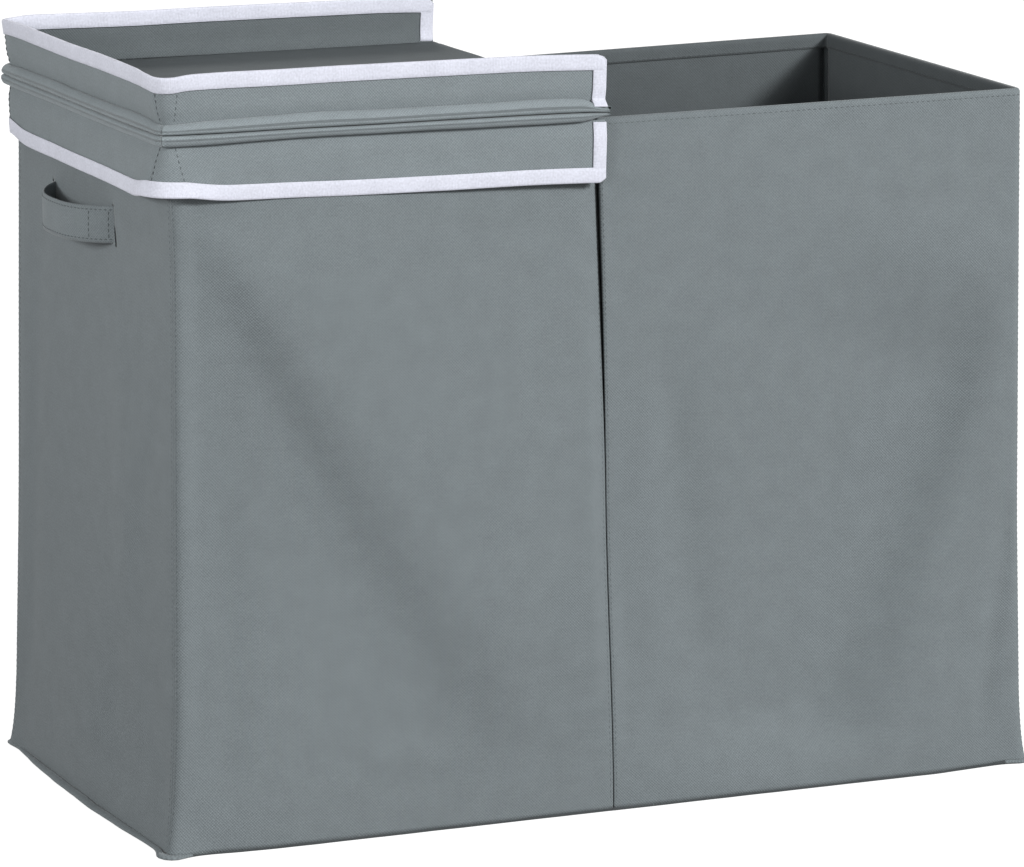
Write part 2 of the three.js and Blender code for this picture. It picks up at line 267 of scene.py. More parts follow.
def grid_faces(nu, nv, wrap=False, flip=False, holes=None):
    i, j = mesh_of(np.arange(nu - 1), np.arange(nv - (0 if wrap else 1)))
    if holes is not None:
        keep = ~holes[: nu - 1, : i.shape[1]]
        i, j = i[keep], j[keep]
    i, j = i.ravel(), j.ravel()
    k = (j + 1) % nv
    faces = np.stack([i * nv + j, (i + 1) * nv + j, (i + 1) * nv + k, i * nv + k], -1)
    return faces[:, ::-1] if flip else faces


def add_columns(s, places):
    """Adds mesh columns close to both ends of a run, at these places in millimetres."""
    places = np.array(places) * MM
    return np.unique(join(s, s[0] + places, s[-1] - places))


def lengths(points, axis):
    """Distance along a grid of points on one axis, from its first row."""
    step = np.linalg.norm(np.diff(points, axis=axis), axis=-1)
    start = np.zeros_like(np.take(step, [0], axis=axis))
    return np.cumsum(join(start, step, axis=axis), axis=axis)


def cloth_places(points):
    """Metres along the cloth at each point of a grid."""
    along, across = lengths(points, 0).mean(1), lengths(points, 1).mean(0)
    return np.stack(mesh_of(along, across), -1)


def panel_grid(start, across, up, steps=(12, 16)):
    """Grid of points on a flat panel from one corner and its two edges."""
    a, b = mesh_of(np.linspace(0, 1, steps[0]), np.linspace(0, 1, steps[1]))
    return np.array(start) + a[..., None] * np.array(across) + b[..., None] * np.array(up)


def sheet_object(name, points, material, thickness=CLOTH, flip=False, holes=None, inside=None):
    """A cloth or board panel: its seen face is the grid of points, and its thickness lies behind."""
    faces = grid_faces(*points.shape[:2], flip=flip, holes=holes).tolist()
    thing = new_object(name, points, faces, material, cloth_places(points))
    thicken(thing, thickness, inside)
    return thing


def thicken(thing, thickness, inside=None):
    """Gives a surface its thickness on the hidden side, which may have a material of its own."""
    solid = thing.modifiers.new("thickness", "SOLIDIFY")
    solid.thickness = thickness
    solid.offset = -1
    if inside:
        thing.data.materials.append(inside)
        solid.material_offset = 1


def tube_object(name, points, flip):
    """A roll of cloth from rings of points, with both ends closed."""
    nu, nv = points.shape[:2]
    faces = grid_faces(nu, nv, wrap=True, flip=flip).tolist()
    first, last = list(range(nv)), list(range((nu - 1) * nv, nu * nv))
    faces += [first if flip else first[::-1], last[::-1] if flip else last]
    # The roll's cloth is painted lighter, as painted light.
    return new_object(name, points, faces, PAINTED_LIGHT_ROLL_CLOTH, cloth_places(points))


DASH_SIDES = 6  # of each thread dash, which has a point at both ends


def thread_points(line, normals, pitch, size):
    """Corners of the thread dashes along one line of points on a surface."""
    travel = lengths(line[:, None], 0)[:, 0]
    places = np.arange(pitch / 2, travel[-1], pitch)

    def at(values, where):
        return np.stack([np.interp(where, travel, values[:, i]) for i in range(3)], -1)

    centre, up = at(line, places), at(normals, places)
    along = at(line, places + 0.3 * MM) - at(line, places - 0.3 * MM)
    along /= np.linalg.norm(along, axis=1)[:, None]
    across = np.cross(up, along)
    across /= np.linalg.norm(across, axis=1)[:, None]
    up = np.cross(along, across)
    turns = np.arange(DASH_SIDES) * 2 * math.pi / DASH_SIDES
    ring = np.stack([0 * turns, np.cos(turns), np.sin(turns)], -1)
    dash = join([(-1, 0, 0)], ring - (0.6, 0, 0), ring + (0.6, 0, 0), [(1, 0, 0)])
    dash = dash * np.array(size) * MM
    axes = np.stack([along, across, up], 1)
    return centre[:, None] + dash[None] @ axes


def stitches(name, runs, pitch=4.2, size=(1.25, 0.3, 0.28)):
    """Rows of thread dashes, each a small spindle half sunk in the cloth; sizes in millimetres."""
    points = np.concatenate([thread_points(line, normals, pitch * MM, size) for line, normals in runs])
    one, far = [], 1 + DASH_SIDES
    for k in range(DASH_SIDES):
        n = (k + 1) % DASH_SIDES
        one += [(0, 1 + n, 1 + k), (1 + k, 1 + n, far + n, far + k),
                (far + k, far + n, far + DASH_SIDES)]
    total = points.shape[1]
    faces = [[a + total * i for a in face] for i in range(len(points)) for face in one]
    return new_object(name, points, faces, THREAD, np.zeros((len(points) * total, 2)))


def surface_run(point, s, z):
    """A line on a surface that is a function of two coordinates, with the surface's normals."""
    s, z = np.broadcast_arrays(np.asarray(s, float), np.asarray(z, float))
    small = 0.4 * MM
    ds = point(s + small, z) - point(s - small, z)
    dz = point(s, z + small) - point(s, z - small)
    normal = np.cross(ds, dz)
    return point(s, z), normal / np.linalg.norm(normal, axis=-1)[..., None]


# ---------- materials ----------


def maths(tree, operation, a, b=None):
    made = tree.nodes.new("ShaderNodeMath")
    made.operation = operation
    for socket, value in zip(made.inputs, (a, b)):
        if isinstance(value, (int, float)):
            socket.default_value = value
        elif value is not None:
            tree.links.new(value, socket)
    return made.outputs[0]


def times(tree, a, b):
    return maths(tree, "MULTIPLY", a, b)


def plus(tree, a, b):
    return maths(tree, "ADD", a, b)


def new_material(name, **values):
    """A material whose shader has some constant values, with its node tree."""
    material = bpy.data.materials.new(name)
    material.use_nodes = True
    shader = material.node_tree.nodes["Principled BSDF"]
    for key, value in values.items():
        shader.inputs[key.replace("_", " ")].default_value = value
    return material, material.node_tree, shader


def noise(tree, scale, detail, roughness=0.5):
    made = tree.nodes.new("ShaderNodeTexNoise")
    made.inputs["Scale"].default_value = scale
    made.inputs["Detail"].default_value = detail
    made.inputs["Roughness"].default_value = roughness
    return made


def ramp_and_bump(tree, shader, tone, low, high, height, relief):
    """Colour between two ends by tone, and a fine surface relief in millimetres."""
    ramp = tree.nodes.new("ShaderNodeValToRGB")
    for element, (position, colour) in zip(ramp.color_ramp.elements, (low, high)):
        element.position = position
        element.color = (*colour, 1)
    bump = tree.nodes.new("ShaderNodeBump")
    bump.inputs["Strength"].default_value = 1
    bump.inputs["Distance"].default_value = relief * MM
    tree.links.new(tone, ramp.inputs[0])
    tree.links.new(ramp.outputs[0], shader.inputs["Base Color"])
    tree.links.new(height, bump.inputs["Height"])
    tree.links.new(bump.outputs[0], shader.inputs["Normal"])


def cloth_material(name, colour, pitch, contrast, relief, sheen=0.15, rib=False):
    """Embossed cloth: a fine diagonal lattice, or ribs, with soft blotches of tone."""
    material, tree, shader = new_material(name, Roughness=0.85, Sheen_Weight=sheen, Sheen_Roughness=0.4,
                                          Specular_IOR_Level=0.3)
    cloth = tree.nodes.new("ShaderNodeUVMap")
    cloth.uv_map = "cloth"
    axes = tree.nodes.new("ShaderNodeSeparateXYZ")
    tree.links.new(cloth.outputs[0], axes.inputs[0])
    turns = 2 * math.pi / (pitch * MM)
    if rib:
        ways = ((axes.outputs[1], turns), (axes.outputs[0], turns * 0.8))
    else:
        ways = [(maths(tree, sort, axes.outputs[0], axes.outputs[1]), turns * 0.7071)
                for sort in ("ADD", "SUBTRACT")]
    first, second = [maths(tree, "SINE", times(tree, way, rate)) for way, rate in ways]
    lattice = times(tree, plus(tree, first, second), 0.5)
    tone = times(tree, lattice, contrast)
    blotch, grain = noise(tree, 55, 6, 0.62), noise(tree, 620, 2)
    for texture, share in ((blotch, 0.5), (grain, GRAIN)):
        tree.links.new(cloth.outputs[0], texture.inputs["Vector"])
        part = times(tree, maths(tree, "SUBTRACT", texture.outputs[0], 0.5), share)
        tone = plus(tree, tone, part)
    tone = plus(tree, tone, 0.5)
    height = plus(tree, lattice, times(tree, grain.outputs[0], GRAIN))
    dark, pale = [c * 0.72 for c in colour], [min(1, c * 1.28) for c in colour]
    ramp_and_bump(tree, shader, tone, (0, dark), (1, pale), height, relief)
    return material


def board_material():
    """Pressed grey board with short fibres."""
    material, tree, shader = new_material("pressed_board", Roughness=0.8)
    stretch = tree.nodes.new("ShaderNodeMapping")
    stretch.inputs["Scale"].default_value = (1, 1, 6)
    fibres = noise(tree, 220, 6)
    tree.links.new(tree.nodes.new("ShaderNodeTexCoord").outputs["Object"], stretch.inputs[0])
    tree.links.new(stretch.outputs[0], fibres.inputs["Vector"])
    low, high = (0.3, (0.26, 0.21, 0.15)), (0.75, (0.52, 0.44, 0.33))
    ramp_and_bump(tree, shader, fibres.outputs[0], low, high, fibres.outputs[0], 0.1)
    return material


def grey_cloth(name, share, contrast=0.34, relief=0.12, pitch=1.5, **more):
    """The hamper's grey cloth, lighter or darker by a share."""
    return cloth_material(name, [c * share for c in GREY], pitch, contrast, relief, **more)


GREY = (0.122, 0.141, 0.149)
GRAIN = 0.8  # weight of the finest grain beside the weave
COVER = grey_cloth("grey_cover_cloth", 1)
# Darker lining cloth, also laid on the covers' turned-in hems as painted shade.
LINING_AND_HEM_SHADE = grey_cloth("grey_lining_cloth", 0.56, 0.22, 0.1)
LID_LINING = grey_cloth("grey_lid_lining_cloth", 0.58, 0.22, 0.1, sheen=0)
# Painted light: the lid skirts get the grey cloth made 1.2 times lighter, standing in for the light on
# their outward-leaning faces.
PAINTED_LIGHT_LID_CLOTH = grey_cloth("grey_lid_cloth", 1.2)
# Painted shadow: near-black grey cloth for the foot of the base seam.
SEAM_SHADE = grey_cloth("grey_seam_inside_cloth", 0.3, 0.3, 0.1)
# Painted light: the rolled lid edges get the grey cloth made 1.4 times lighter, lifting the shade on
# their rounded faces.
PAINTED_LIGHT_ROLL_CLOTH = grey_cloth("grey_roll_cloth", 1.4)
LID_INSIDE = grey_cloth("grey_lid_inside_cloth", 0.72, 0.3)
WEBBING = grey_cloth("grey_strap_cloth", 1.08, 0.3, 0.13)
TAPE = cloth_material("white_binding_tape", (0.485, 0.495, 0.56), 0.9, 0.1, 0.06, rib=True)
THREAD = grey_cloth("grey_thread", 0.6, 0.2, 0.03, 0.5)
PRESSED_BOARD = board_material()


def place(thing, body, *nodes):
    """Rides a piece on its body and hides the frame nodes that it stands for."""
    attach(thing, body)
    mark(thing, *nodes)


def mark(thing, *nodes):
    if nodes:
        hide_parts(*nodes)


# ---------- wall covers ----------

SEAM_GAP = 0.25 * MM  # half of the gap between two covers at a centre seam
PANELS = {
    "front_cover_right": (SEAM_GAP, RIGHT_FRONT),
    "end_cover_right": (RIGHT_FRONT, RIGHT_BACK),
    "back_cover_right": (RIGHT_BACK, BACK_SEAM - SEAM_GAP),
    "back_cover_left": (BACK_SEAM + SEAM_GAP, LEFT_BACK),
    "end_cover_left": (LEFT_BACK, LEFT_FRONT),
    "front_cover_left": (LEFT_FRONT, PERIMETER - SEAM_GAP),
}

# Start and end of each line, (across, up) on the wall face; then the ridge's width and height; in mm.
CREASES = {
    "front_cover_left": [
        ((-292, 330), (-284, 40), 16, -2.0),
        ((-60, 300), (-95, 60), 30, 1.4),
        ((-180, 60), (-60, 20), 16, 1.2),
    ],
    "front_cover_right": [
        ((316, 190), (286, 10), 9, -2.2),
        ((48, 330), (70, 100), 20, -2.8),
    ],
    "back_cover_left": [((-60, 380), (-110, 60), 26, 1.8)],
    "back_cover_right": [((60, 360), (100, 80), 26, 1.8)],
    "end_cover_left": [((-60, 330), (-90, 40), 24, 1.4), ((110, 400), (130, 60), 18, -1.8)],
    "end_cover_right": [((80, 330), (110, 40), 24, 1.6), ((-90, 380), (-110, 80), 20, -1.8)],
}

# The same, for long slanting slopes that run from a top corner towards the middle of the foot.
SLOPES = {
    "front_cover_left": [((-306, 430), (-110, 97), 22, 15)],
    "front_cover_right": [((302, 330), (175, 0), 22, -17)],
    "back_cover_left": [((-290, 420), (-150, 90), 16, 8)],
    "back_cover_right": [((300, 400), (150, 40), 16, 8)],
    "end_cover_left": [((-130, 330), (-20, 40), 14, 2.5)],
    "end_cover_right": [((120, 360), (10, 60), 14, 3.0)],
}


def wall_relief(name, s, z):
    """How far a cover stands off its board."""
    first, last = PANELS[name]
    xy = plan(s, 0, CORNER)
    across = xy[..., 1] if name.startswith("end") else xy[..., 0]
    relief = sum(crease(across, z, *line) for line in CREASES[name])
    relief = relief + sum(slope(across, z, *line) for line in SLOPES[name])
    seed = sorted(PANELS).index(name) * 10
    relief = relief + 1.1 * MM * soft_noise(s, z, 110, 190, seed)
    relief = relief + 0.25 * MM * soft_noise(s, z, 30, 48, seed + 1)
    from_seam = abs(s - (last if name.endswith("left") else first))
    low = fade(170 * MM - z, 120) * fade(z, 30)
    pucker = np.sin(2 * math.pi * (z + 0.12 * from_seam) / (15 * MM)) * np.exp(-from_seam / (26 * MM))
    if not name.startswith("end"):
        relief = relief + 0.35 * MM * low * pucker
    calm = fade(RIM_Z - 6 * MM - z, 45) * fade(z - 1 * MM, 60)
    calm = calm * smooth(np.minimum(s - first, last - s) / (14 * MM))
    return relief * calm + edge_dip(name, s, z, first, last)


def edge_dip(name, s, z, first, last):
    """Covers turn in at their seams; the left long panels sit back along the whole centre seam."""
    turned = 0.35 * MM
    if name.startswith("end"):
        return -turned * (bell(s - first, 1) + bell(s - last, 1))
    starts_at_corner = name in ("front_cover_left", "back_cover_right")
    corner, centre = (first, last) if starts_at_corner else (last, first)
    dip = -turned * bell(s - corner, 1)
    if name == "front_cover_left":
        past = s - FRONT_LEFT
        drawn = fade(z, 80) * fade(RIM_Z - 10 * MM - z, 40)
        drawn = drawn * fade(past, 11) * np.exp(-np.maximum(past, 0) / (120 * MM))
        dip = dip - 1.7 * MM * drawn
    height = fade(z - 220 * MM, 240)
    if name.endswith("right"):
        return dip - (0.3 + 0.9 * height) * MM * bell(s - centre, 0.9)
    dip = dip - (0.4 + 2.1 * height) * MM * bell(s - centre, 2.4)
    return dip - (0.3 + 2.6 * height) * MM * bell(s - centre, 14)


def left_swell(s):
    """From 0 at the corners of the left end to 1 at its middle."""
    part, t = station(s)
    return (part == LEFT_SIDE) * np.sin(math.pi * np.clip(t, 0, 1)) ** 0.7


def foot_out(s, z):
    """Covers swing out at the corners of the base, and the left end swells above its pinched foot."""
    flare = 4.6 * MM * bell(nearest(s, FOOT_CORNERS), 16) * np.exp(-z / (14 * MM))
    return flare + left_swell(s) * (5.5 * np.exp(-z / (70 * MM)) - 2.5 * np.exp(-z / (8 * MM))) * MM


def rim_profile():
    """Offset and height up the outer face, over the rim and down the hem inside."""
    rise = np.linspace(1.4 * MM, RIM_Z - RIM_ROUND, int(RIM_Z / STEP))
    turn = np.linspace(0, math.pi, 9)[1:]
    hem = np.linspace(RIM_Z - RIM_ROUND, RIM_Z - HEM_BAND, 5)[1:]
    out = join(0 * rise, RIM_ROUND * (np.cos(turn) - 1), 0 * hem - 2 * RIM_ROUND)
    z = join(rise, RIM_Z - RIM_ROUND + RIM_ROUND * np.sin(turn), hem)
    face = join(0 * rise + 1, smooth(1 - turn / math.pi), 0 * hem)
    return out, z, face


def cover_point(name, s, z, out=0, face=1):
    s, z, out, face = np.broadcast_arrays(s, z, out, face)
    return wall_point(s, z, out + (wall_relief(name, s, z) + foot_out(s, z)) * face)


def slit_places(name):
    """Places along the line of the two strap slits in an end wall, from its start."""
    centre = RUN_Y + (STRAP_Y if name.endswith("right") else -STRAP_Y)
    return [centre - SLIT, centre + SLIT]


def slit_shear(name, s, z, first):
    """The slits lean a little, as the strap drags on them."""
    shift = 0 * s
    for place_s in slit_places(name):
        near = bell(s - first - place_s, 22) * bell(z - STRAP_MID, 34)
        shift = shift - 0.22 * (z - STRAP_MID) * near
    return shift


def paint_hem_shade(thing, count, top):
    """Past the rim the cover's turned-in hem is painted with the darker lining cloth, as painted shade
    inside the rim.
    """
    thing.data.materials.append(LINING_AND_HEM_SHADE)
    for polygon in thing.data.polygons:
        if min(corner % count for corner in polygon.vertices) >= top:
            polygon.material_index = 1


def make_cover(name):
    first, last = PANELS[name]
    out, z, face = rim_profile()
    s = np.linspace(first, last, int((last - first) / STEP) + 1)
    s = add_columns(s, (0.8, 1.6, 2.6))
    holes, shear = None, 0
    if name.startswith("end"):
        half, slit_low, slit_high = 1.7 * MM, STRAP_LOW - 2 * MM, STRAP_HIGH + 1 * MM
        marks = [first + p + d for p in slit_places(name) for d in (-half, half)]
        s = np.unique(join(s, marks))
        for level in (slit_low, slit_high):
            z[abs(z[: np.argmax(z)] - level).argmin()] = level
        mid_s, mid_z = (s[:-1] + s[1:]) / 2, (z[:-1] + z[1:]) / 2
        in_s = sum(abs(mid_s - first - p) < half for p in slit_places(name)) > 0
        in_z = (mid_z > slit_low) & (mid_z < slit_high) & (face[:-1] == 1)
        holes = np.zeros((len(s), len(z)), bool)
        holes[:-1, :-1] = in_s[:, None] & in_z[None, :]
    grid_s, grid_z = mesh_of(s, z)
    if name.startswith("end"):
        shear = slit_shear(name, grid_s, grid_z, first)
    points = cover_point(name, grid_s + shear, grid_z, out[None, :], face[None, :])
    thing = sheet_object(name.replace("cover", "cloth"), points, COVER, holes=holes)
    # Painted shade on the hem inside the rim.
    paint_hem_shade(thing, points.shape[1], int(np.argmax(z)))
    place(thing, "basket", name)


# ---------- boards and linings ----------

BOARD_TOP = RIM_Z - 3.2 * MM
WALL_LOW = 1.6 * MM


def wall_layer(name, kind, depth, thickness, material):
    """A board or lining behind a cover, pushed in where the cover dips."""
    first, last = PANELS[name]
    ends = (RIGHT_FRONT, RIGHT_BACK, LEFT_BACK, LEFT_FRONT)
    from_start, from_end = [CORNER + 6.5 * MM if edge in ends else 2 * MM for edge in (first, last)]
    if name.startswith("end"):
        from_start = from_end = 1.5 * MM
    s, z = mesh_of(np.linspace(first + from_start, last - from_end, 90),
                   np.linspace(WALL_LOW, BOARD_TOP, 110))
    pushed = np.minimum(wall_relief(name, s, z) + foot_out(s, z), 0)
    if kind == "lining":
        pushed = pushed + 0.4 * MM * soft_noise(s, z, 60, 90, 77) - 0.4 * MM
    points = wall_point(s, z, pushed - depth - thickness)
    thing = sheet_object(name.replace("cover", kind) + "_panel", points, material, -thickness)
    place(thing, "basket", name.replace("cover", kind))


def make_wall_layers():
    for name in PANELS:
        end = name.startswith("end")
        wall_layer(name, "board", (2.6 if end else 1.4) * MM, (1.6 if end else 2.0) * MM, PRESSED_BOARD)
        wall_layer(name, "lining", (4.3 if end else 3.7) * MM, CLOTH, LINING_AND_HEM_SHADE)


# ---------- divider ----------


def divider_bow(share, z):
    """The divider leans to the right between the long walls, most at its top."""
    return 2.5 * MM * np.sin(math.pi * (share + 1) / 2) * (z / RIM_Z) ** 2


def make_divider():
    """A cloth sleeve over a board, open at the foot, sewn to both long walls."""
    half_y, half_x = HALF_D - 5.2 * MM, 2.3 * MM
    top = DIVIDER_TOP - half_x
    turn = np.linspace(0, math.pi, 9)
    rise = np.linspace(WALL_LOW, top, 90)
    x = join(0 * rise + half_x, half_x * np.cos(turn[1:-1]), 0 * rise - half_x)
    z = join(rise, top + half_x * np.sin(turn[1:-1]), rise[::-1])
    y = np.linspace(-half_y, half_y, 70)
    grid_y, grid_x = mesh_of(y, x)
    grid_z = np.broadcast_to(z, grid_y.shape)
    puff = 0.9 * MM * soft_noise(grid_y + np.sign(grid_x), grid_z, 80, 110, 31)
    puff = puff * fade(half_y - abs(grid_y), 25) * fade(top - grid_z, 30)
    side = np.sign(grid_x)
    grid_x = grid_x + side * np.maximum(puff, -0.2 * MM) + divider_bow(grid_y / half_y, grid_z)
    points = settle(np.stack([grid_x, grid_y, grid_z], -1))
    sleeve = sheet_object("divider_sleeve", points, LINING_AND_HEM_SHADE, 0.7 * MM, flip=True)
    place(sleeve, "basket", "divider_cover")
    flat = panel_grid((0.9 * MM, -half_y + 4 * MM, WALL_LOW), (0, 2 * half_y - 8 * MM, 0),
                      (0, 0, top - WALL_LOW - 2 * MM), (50, 60))
    flat[..., 0] += divider_bow(flat[..., 1] / half_y, flat[..., 2])
    board = sheet_object("divider_board_panel", settle(flat), PRESSED_BOARD, 1.8 * MM)
    place(board, "basket", "divider_board")


# ---------- base ----------


def base_ring(s, out, z):
    """A point on the base seam, which stands out most at the corners and along the left end."""
    near = nearest(s, np.array(FOOT_CORNERS) - ARC / 2)
    front_left = bell(s - (LEFT_FRONT + FRONT_LEFT) / 2, 18)
    reach = (0.5 + 5.1 * bell(near, 13) + 9 * left_swell(s) + 4 * front_left) * MM
    reach = reach + 0.4 * MM * soft_noise(s, 0 * s, 18, 1, 51)
    xy = plan(s, np.where(out > 0, out * reach, out), CORNER + CORNER_FOOT)
    return settle(with_height(xy, z))


def shade_foot(thing, count):
    """Painted shadow: the base seam is painted dark where it meets the wall, under its lower edge and
    all along the long sides, for the shadow at the foot.
    """
    thing.data.materials.append(SEAM_SHADE)
    for polygon in thing.data.polygons:
        rows = {corner % count for corner in polygon.vertices}
        on_long_side = abs(polygon.center.x) < HALF_W - 10 * MM
        if rows == {1, 2} or min(rows) >= 5 or on_long_side:
            polygon.material_index = 1


def make_base():
    s = np.linspace(0, PERIMETER, 700)[:-1]
    inner = -3 * MM
    section = [(inner, 0.3), (inner, 3.2), (0.44, 3.1), (0.75, 2.9), (1, 2.1), (1, 1.0), (0.8, 0.35),
               (0.2, 0.15)]
    out, z = np.array(section).T
    grid_s, grid_out = mesh_of(s, out)
    long_side = fade(HALF_W - 12 * MM - abs(plan(grid_s, 0, CORNER)[..., 0]), 20)
    tall = 1 + 0.2 * soft_noise(grid_s, 0 * grid_s, 25, 1, 52) - 0.4 * long_side
    points = base_ring(grid_s, grid_out, np.broadcast_to(z * MM, grid_s.shape) * tall)
    nu, nv = points.shape[:2]
    faces = grid_faces(nu + 1, nv, wrap=True) % (nu * nv)
    welt = new_object("base_seam", points, faces.tolist(), COVER, np.stack(mesh_of(s, z * MM), -1))
    shade_foot(welt, nv)
    place(welt, "basket", "base_seam_welt")
    start = (-HALF_W + 1 * MM, -HALF_D + 1 * MM, 1.1 * MM)
    flat = panel_grid(start, (2 * HALF_W - 2 * MM, 0, 0), (0, 2 * HALF_D - 2 * MM, 0), (90, 50))
    flat[..., 2] += 0.25 * MM * soft_noise(flat[..., 0], flat[..., 1], 60, 60, 53)
    under = sheet_object("base_underside", settle(flat), COVER, 0.7 * MM)
    place(under, "basket", "base_cloth")


# ---------- floor panels ----------

FLOOR_TRIM = 8.5 * MM  # a loose panel stops short of the long walls


def make_floor_panel(side):
    """A board in a sewn cloth sleeve, lying loose on the base."""
    low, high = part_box(f"{side}_floor_cover")
    length, width = high.x - low.x, high.y - low.y - 2 * FLOOR_TRIM
    middle = (low.x + high.x) / 2
    turn = np.linspace(0, math.pi, 7)
    half = (high.z - low.z) / 2
    across = np.linspace(-width / 2 + half, width / 2 - half, 60)
    edge_y, edge_z = half * np.sin(turn[1:-1]), half * np.cos(turn[1:-1])
    y = join(across, width / 2 - half + edge_y, across[::-1], -width / 2 + half - edge_y)
    z = join(0 * across - half, -edge_z, 0 * across + half, edge_z)
    x = np.linspace(-length / 2, length / 2, 60)
    grid_x, grid_y = mesh_of(x, y)
    grid_z = np.broadcast_to(z, grid_x.shape).copy()
    pinch = 0.4 + 0.6 * fade(length / 2 - abs(grid_x), 7) ** 0.5
    puff = 0.35 * MM * soft_noise(grid_x, grid_y, 45, 60, 61) * (grid_z > 0)
    level = grid_z * pinch + puff * pinch + (low.z + high.z) / 2
    points = np.stack([grid_x + middle, grid_y, level], -1)
    points = join(points, points[:, :1], axis=1)
    sleeve = sheet_object(f"{side}_floor_sleeve", points, LINING_AND_HEM_SHADE, 0.7 * MM, flip=True)
    place(sleeve, f"floor_{side}", f"{side}_floor_cover")
    low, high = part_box(f"{side}_floor_board")
    start = (low.x + 5 * MM, low.y + FLOOR_TRIM, high.z - 0.2 * MM)
    board = sheet_object(f"{side}_floor_panel",
                         panel_grid(start, (high.x - low.x - 10 * MM, 0, 0),
                                    (0, high.y - low.y - 2 * FLOOR_TRIM, 0)), PRESSED_BOARD, 2 * MM)
    place(board, f"floor_{side}", f"{side}_floor_board")


# ---------- lid ----------
# h is the distance from the fold plane between the two halves: down in the left half, up in the right.

LID_SPAN = (BACK_SEAM + LID_START, PERIMETER - LID_START)
LID_FIRST, LID_LAST = LID_SPAN[0] + 1 * MM, LID_SPAN[1] - 1 * MM  # ends of the skirts and their tape
FRONT_CORNER = (LEFT_FRONT + FRONT_LEFT) / 2
BACK_CORNER = (BACK_LEFT + LEFT_BACK) / 2
ROLL_REACH = 9 * MM
LID_HALVES = ("left", "right")


def lid_places(s):
    """The nearness of the hinge, from 0 to 1, and the distance from the corners."""
    toward_hinge = np.clip(1 + plan(s, 0, CORNER)[..., 0] / HALF_W, 0, 1)
    return toward_hinge, np.minimum(abs(s - FRONT_CORNER), abs(s - BACK_CORNER))


def lid_point(half, s, out, h, radius):
    """A point of one half; the cloth edge sinks a little towards the hinge."""
    s, out, h, radius = np.broadcast_arrays(s, out, h, radius)
    xy = plan(s, out, radius)
    x = plan(s, 0, CORNER)[..., 0]
    sag = 1.6 * MM * np.clip(1 + x / HALF_W, 0, 1) + 1.4 * MM * np.exp(x / (22 * MM))
    z = FOLD_Z + (h if half == "right" else -h) - sag
    return lid_settle(with_height(xy, z))


def hem_drop(half, s):
    """How far the skirt's hem is from the fold plane."""
    toward_hinge, near = lid_places(s)
    if half == "left":
        drop = SKIRT_DROP + 4.6 * MM * (1 - bell(near, 24)) + 2.8 * MM * smooth(toward_hinge * 1.3)
    else:
        drop = SKIRT_DROP - 1.2 * MM - 1.6 * MM * bell(near, 9) - 0.8 * MM * toward_hinge
    return drop + 0.5 * MM * soft_noise(s, 0 * s, 60, 1, 81 if half == "left" else 82)


def skirt_out(half, s, h):
    """How far a skirt stands off the wall line."""
    share = np.clip(h / SKIRT_DROP, 0, 1)
    front, back = bell(s - FRONT_CORNER, 26), bell(s - BACK_CORNER, 26)
    at_end = fade(HALF_D + 8 * MM - abs(s - (FRONT_CORNER + BACK_CORNER) / 2), 30)
    forward = np.clip((s - BACK_CORNER) / (FRONT_CORNER - BACK_CORNER), 0, 1)
    foot = 1.2 * MM + 1.6 * MM * fade(h - 6 * MM, 12)
    if half == "left":
        lean = (1.0 * share + at_end * 4 * forward**2 * share**1.5 + 6.5 * front * share**2) * MM
    else:
        lean = (-1.2 * share + at_end * 4.5 * share + (5 * front + 3.5 * back) * share**1.5) * MM
    seed = 83 if half == "left" else 84
    wave = 0.9 * MM * soft_noise(s, h, 75, 60, seed) * smooth(share * 1.5)
    return foot + lean + wave


def skirt_point(half, s, h, lift=0):
    share = np.clip(h / SKIRT_DROP, 0, 1)
    radius = (4 + (8 if half == "left" else 3) * share**1.5) * MM
    return lid_point(half, s, skirt_out(half, s, h) + lift, h, radius)


def skirt_runs():
    """Front piece with its corner strip, end piece and back piece, as places along the line."""
    strip = 5.5 * MM
    return {
        "front": (FRONT_CORNER - strip, LID_LAST),
        "end": (BACK_CORNER + strip, FRONT_CORNER - strip),
        "back": (LID_FIRST, BACK_CORNER + strip),
    }


def make_skirts(half):
    for wall, (first, last) in skirt_runs().items():
        s = np.linspace(first, last, int((last - first) / LID_STEP))
        s = add_columns(s, (0.5, 1.2))
        share = join([0, 0.02, 0.045], np.linspace(0.08, 1, 16))
        grid_s, grid_share = mesh_of(s, share)
        start = 5.6 * MM
        grid_h = start + grid_share * (hem_drop(half, grid_s) - 0.6 * MM - start)
        seam = bell(grid_s - first, 1) + bell(grid_s - last, 1)
        points = skirt_point(half, grid_s, grid_h, -0.7 * MM * seam)
        # The skirt's outer face carries the cloth painted lighter, as painted light.
        thing = sheet_object(f"{half}_lid_skirt_{wall}_cloth", points, PAINTED_LIGHT_LID_CLOTH, flip=half == "left",
                             inside=LID_INSIDE)
        place(thing, f"lid_{half}", f"{half}_lid_skirt_{wall}")


def roll_shape(half, s):
    """Height, reach and slump of the rolled edge at a place on the line."""
    toward_hinge, near = lid_places(s)
    corner = bell(near, 22)
    tip = smooth(abs(plan(s, 0, CORNER)[..., 0] + LID_START) / (22 * MM))
    seed = 91 if half == "left" else 92
    tall = (7.4 if half == "left" else 8.4) * MM
    if half == "left":
        tall = tall - 1.0 * MM * smooth(toward_hinge * 3)
    else:
        tall = tall + 1.4 * MM * smooth(toward_hinge * 3) - 1.6 * MM * corner
    tall = tall * (1 + 0.07 * soft_noise(s, 0 * s, 40, 1, seed))
    reach = ROLL_REACH * (1 + 0.10 * soft_noise(s, 0 * s, 55, 1, seed + 2)) - 1.2 * MM * corner
    return tall, reach, tip


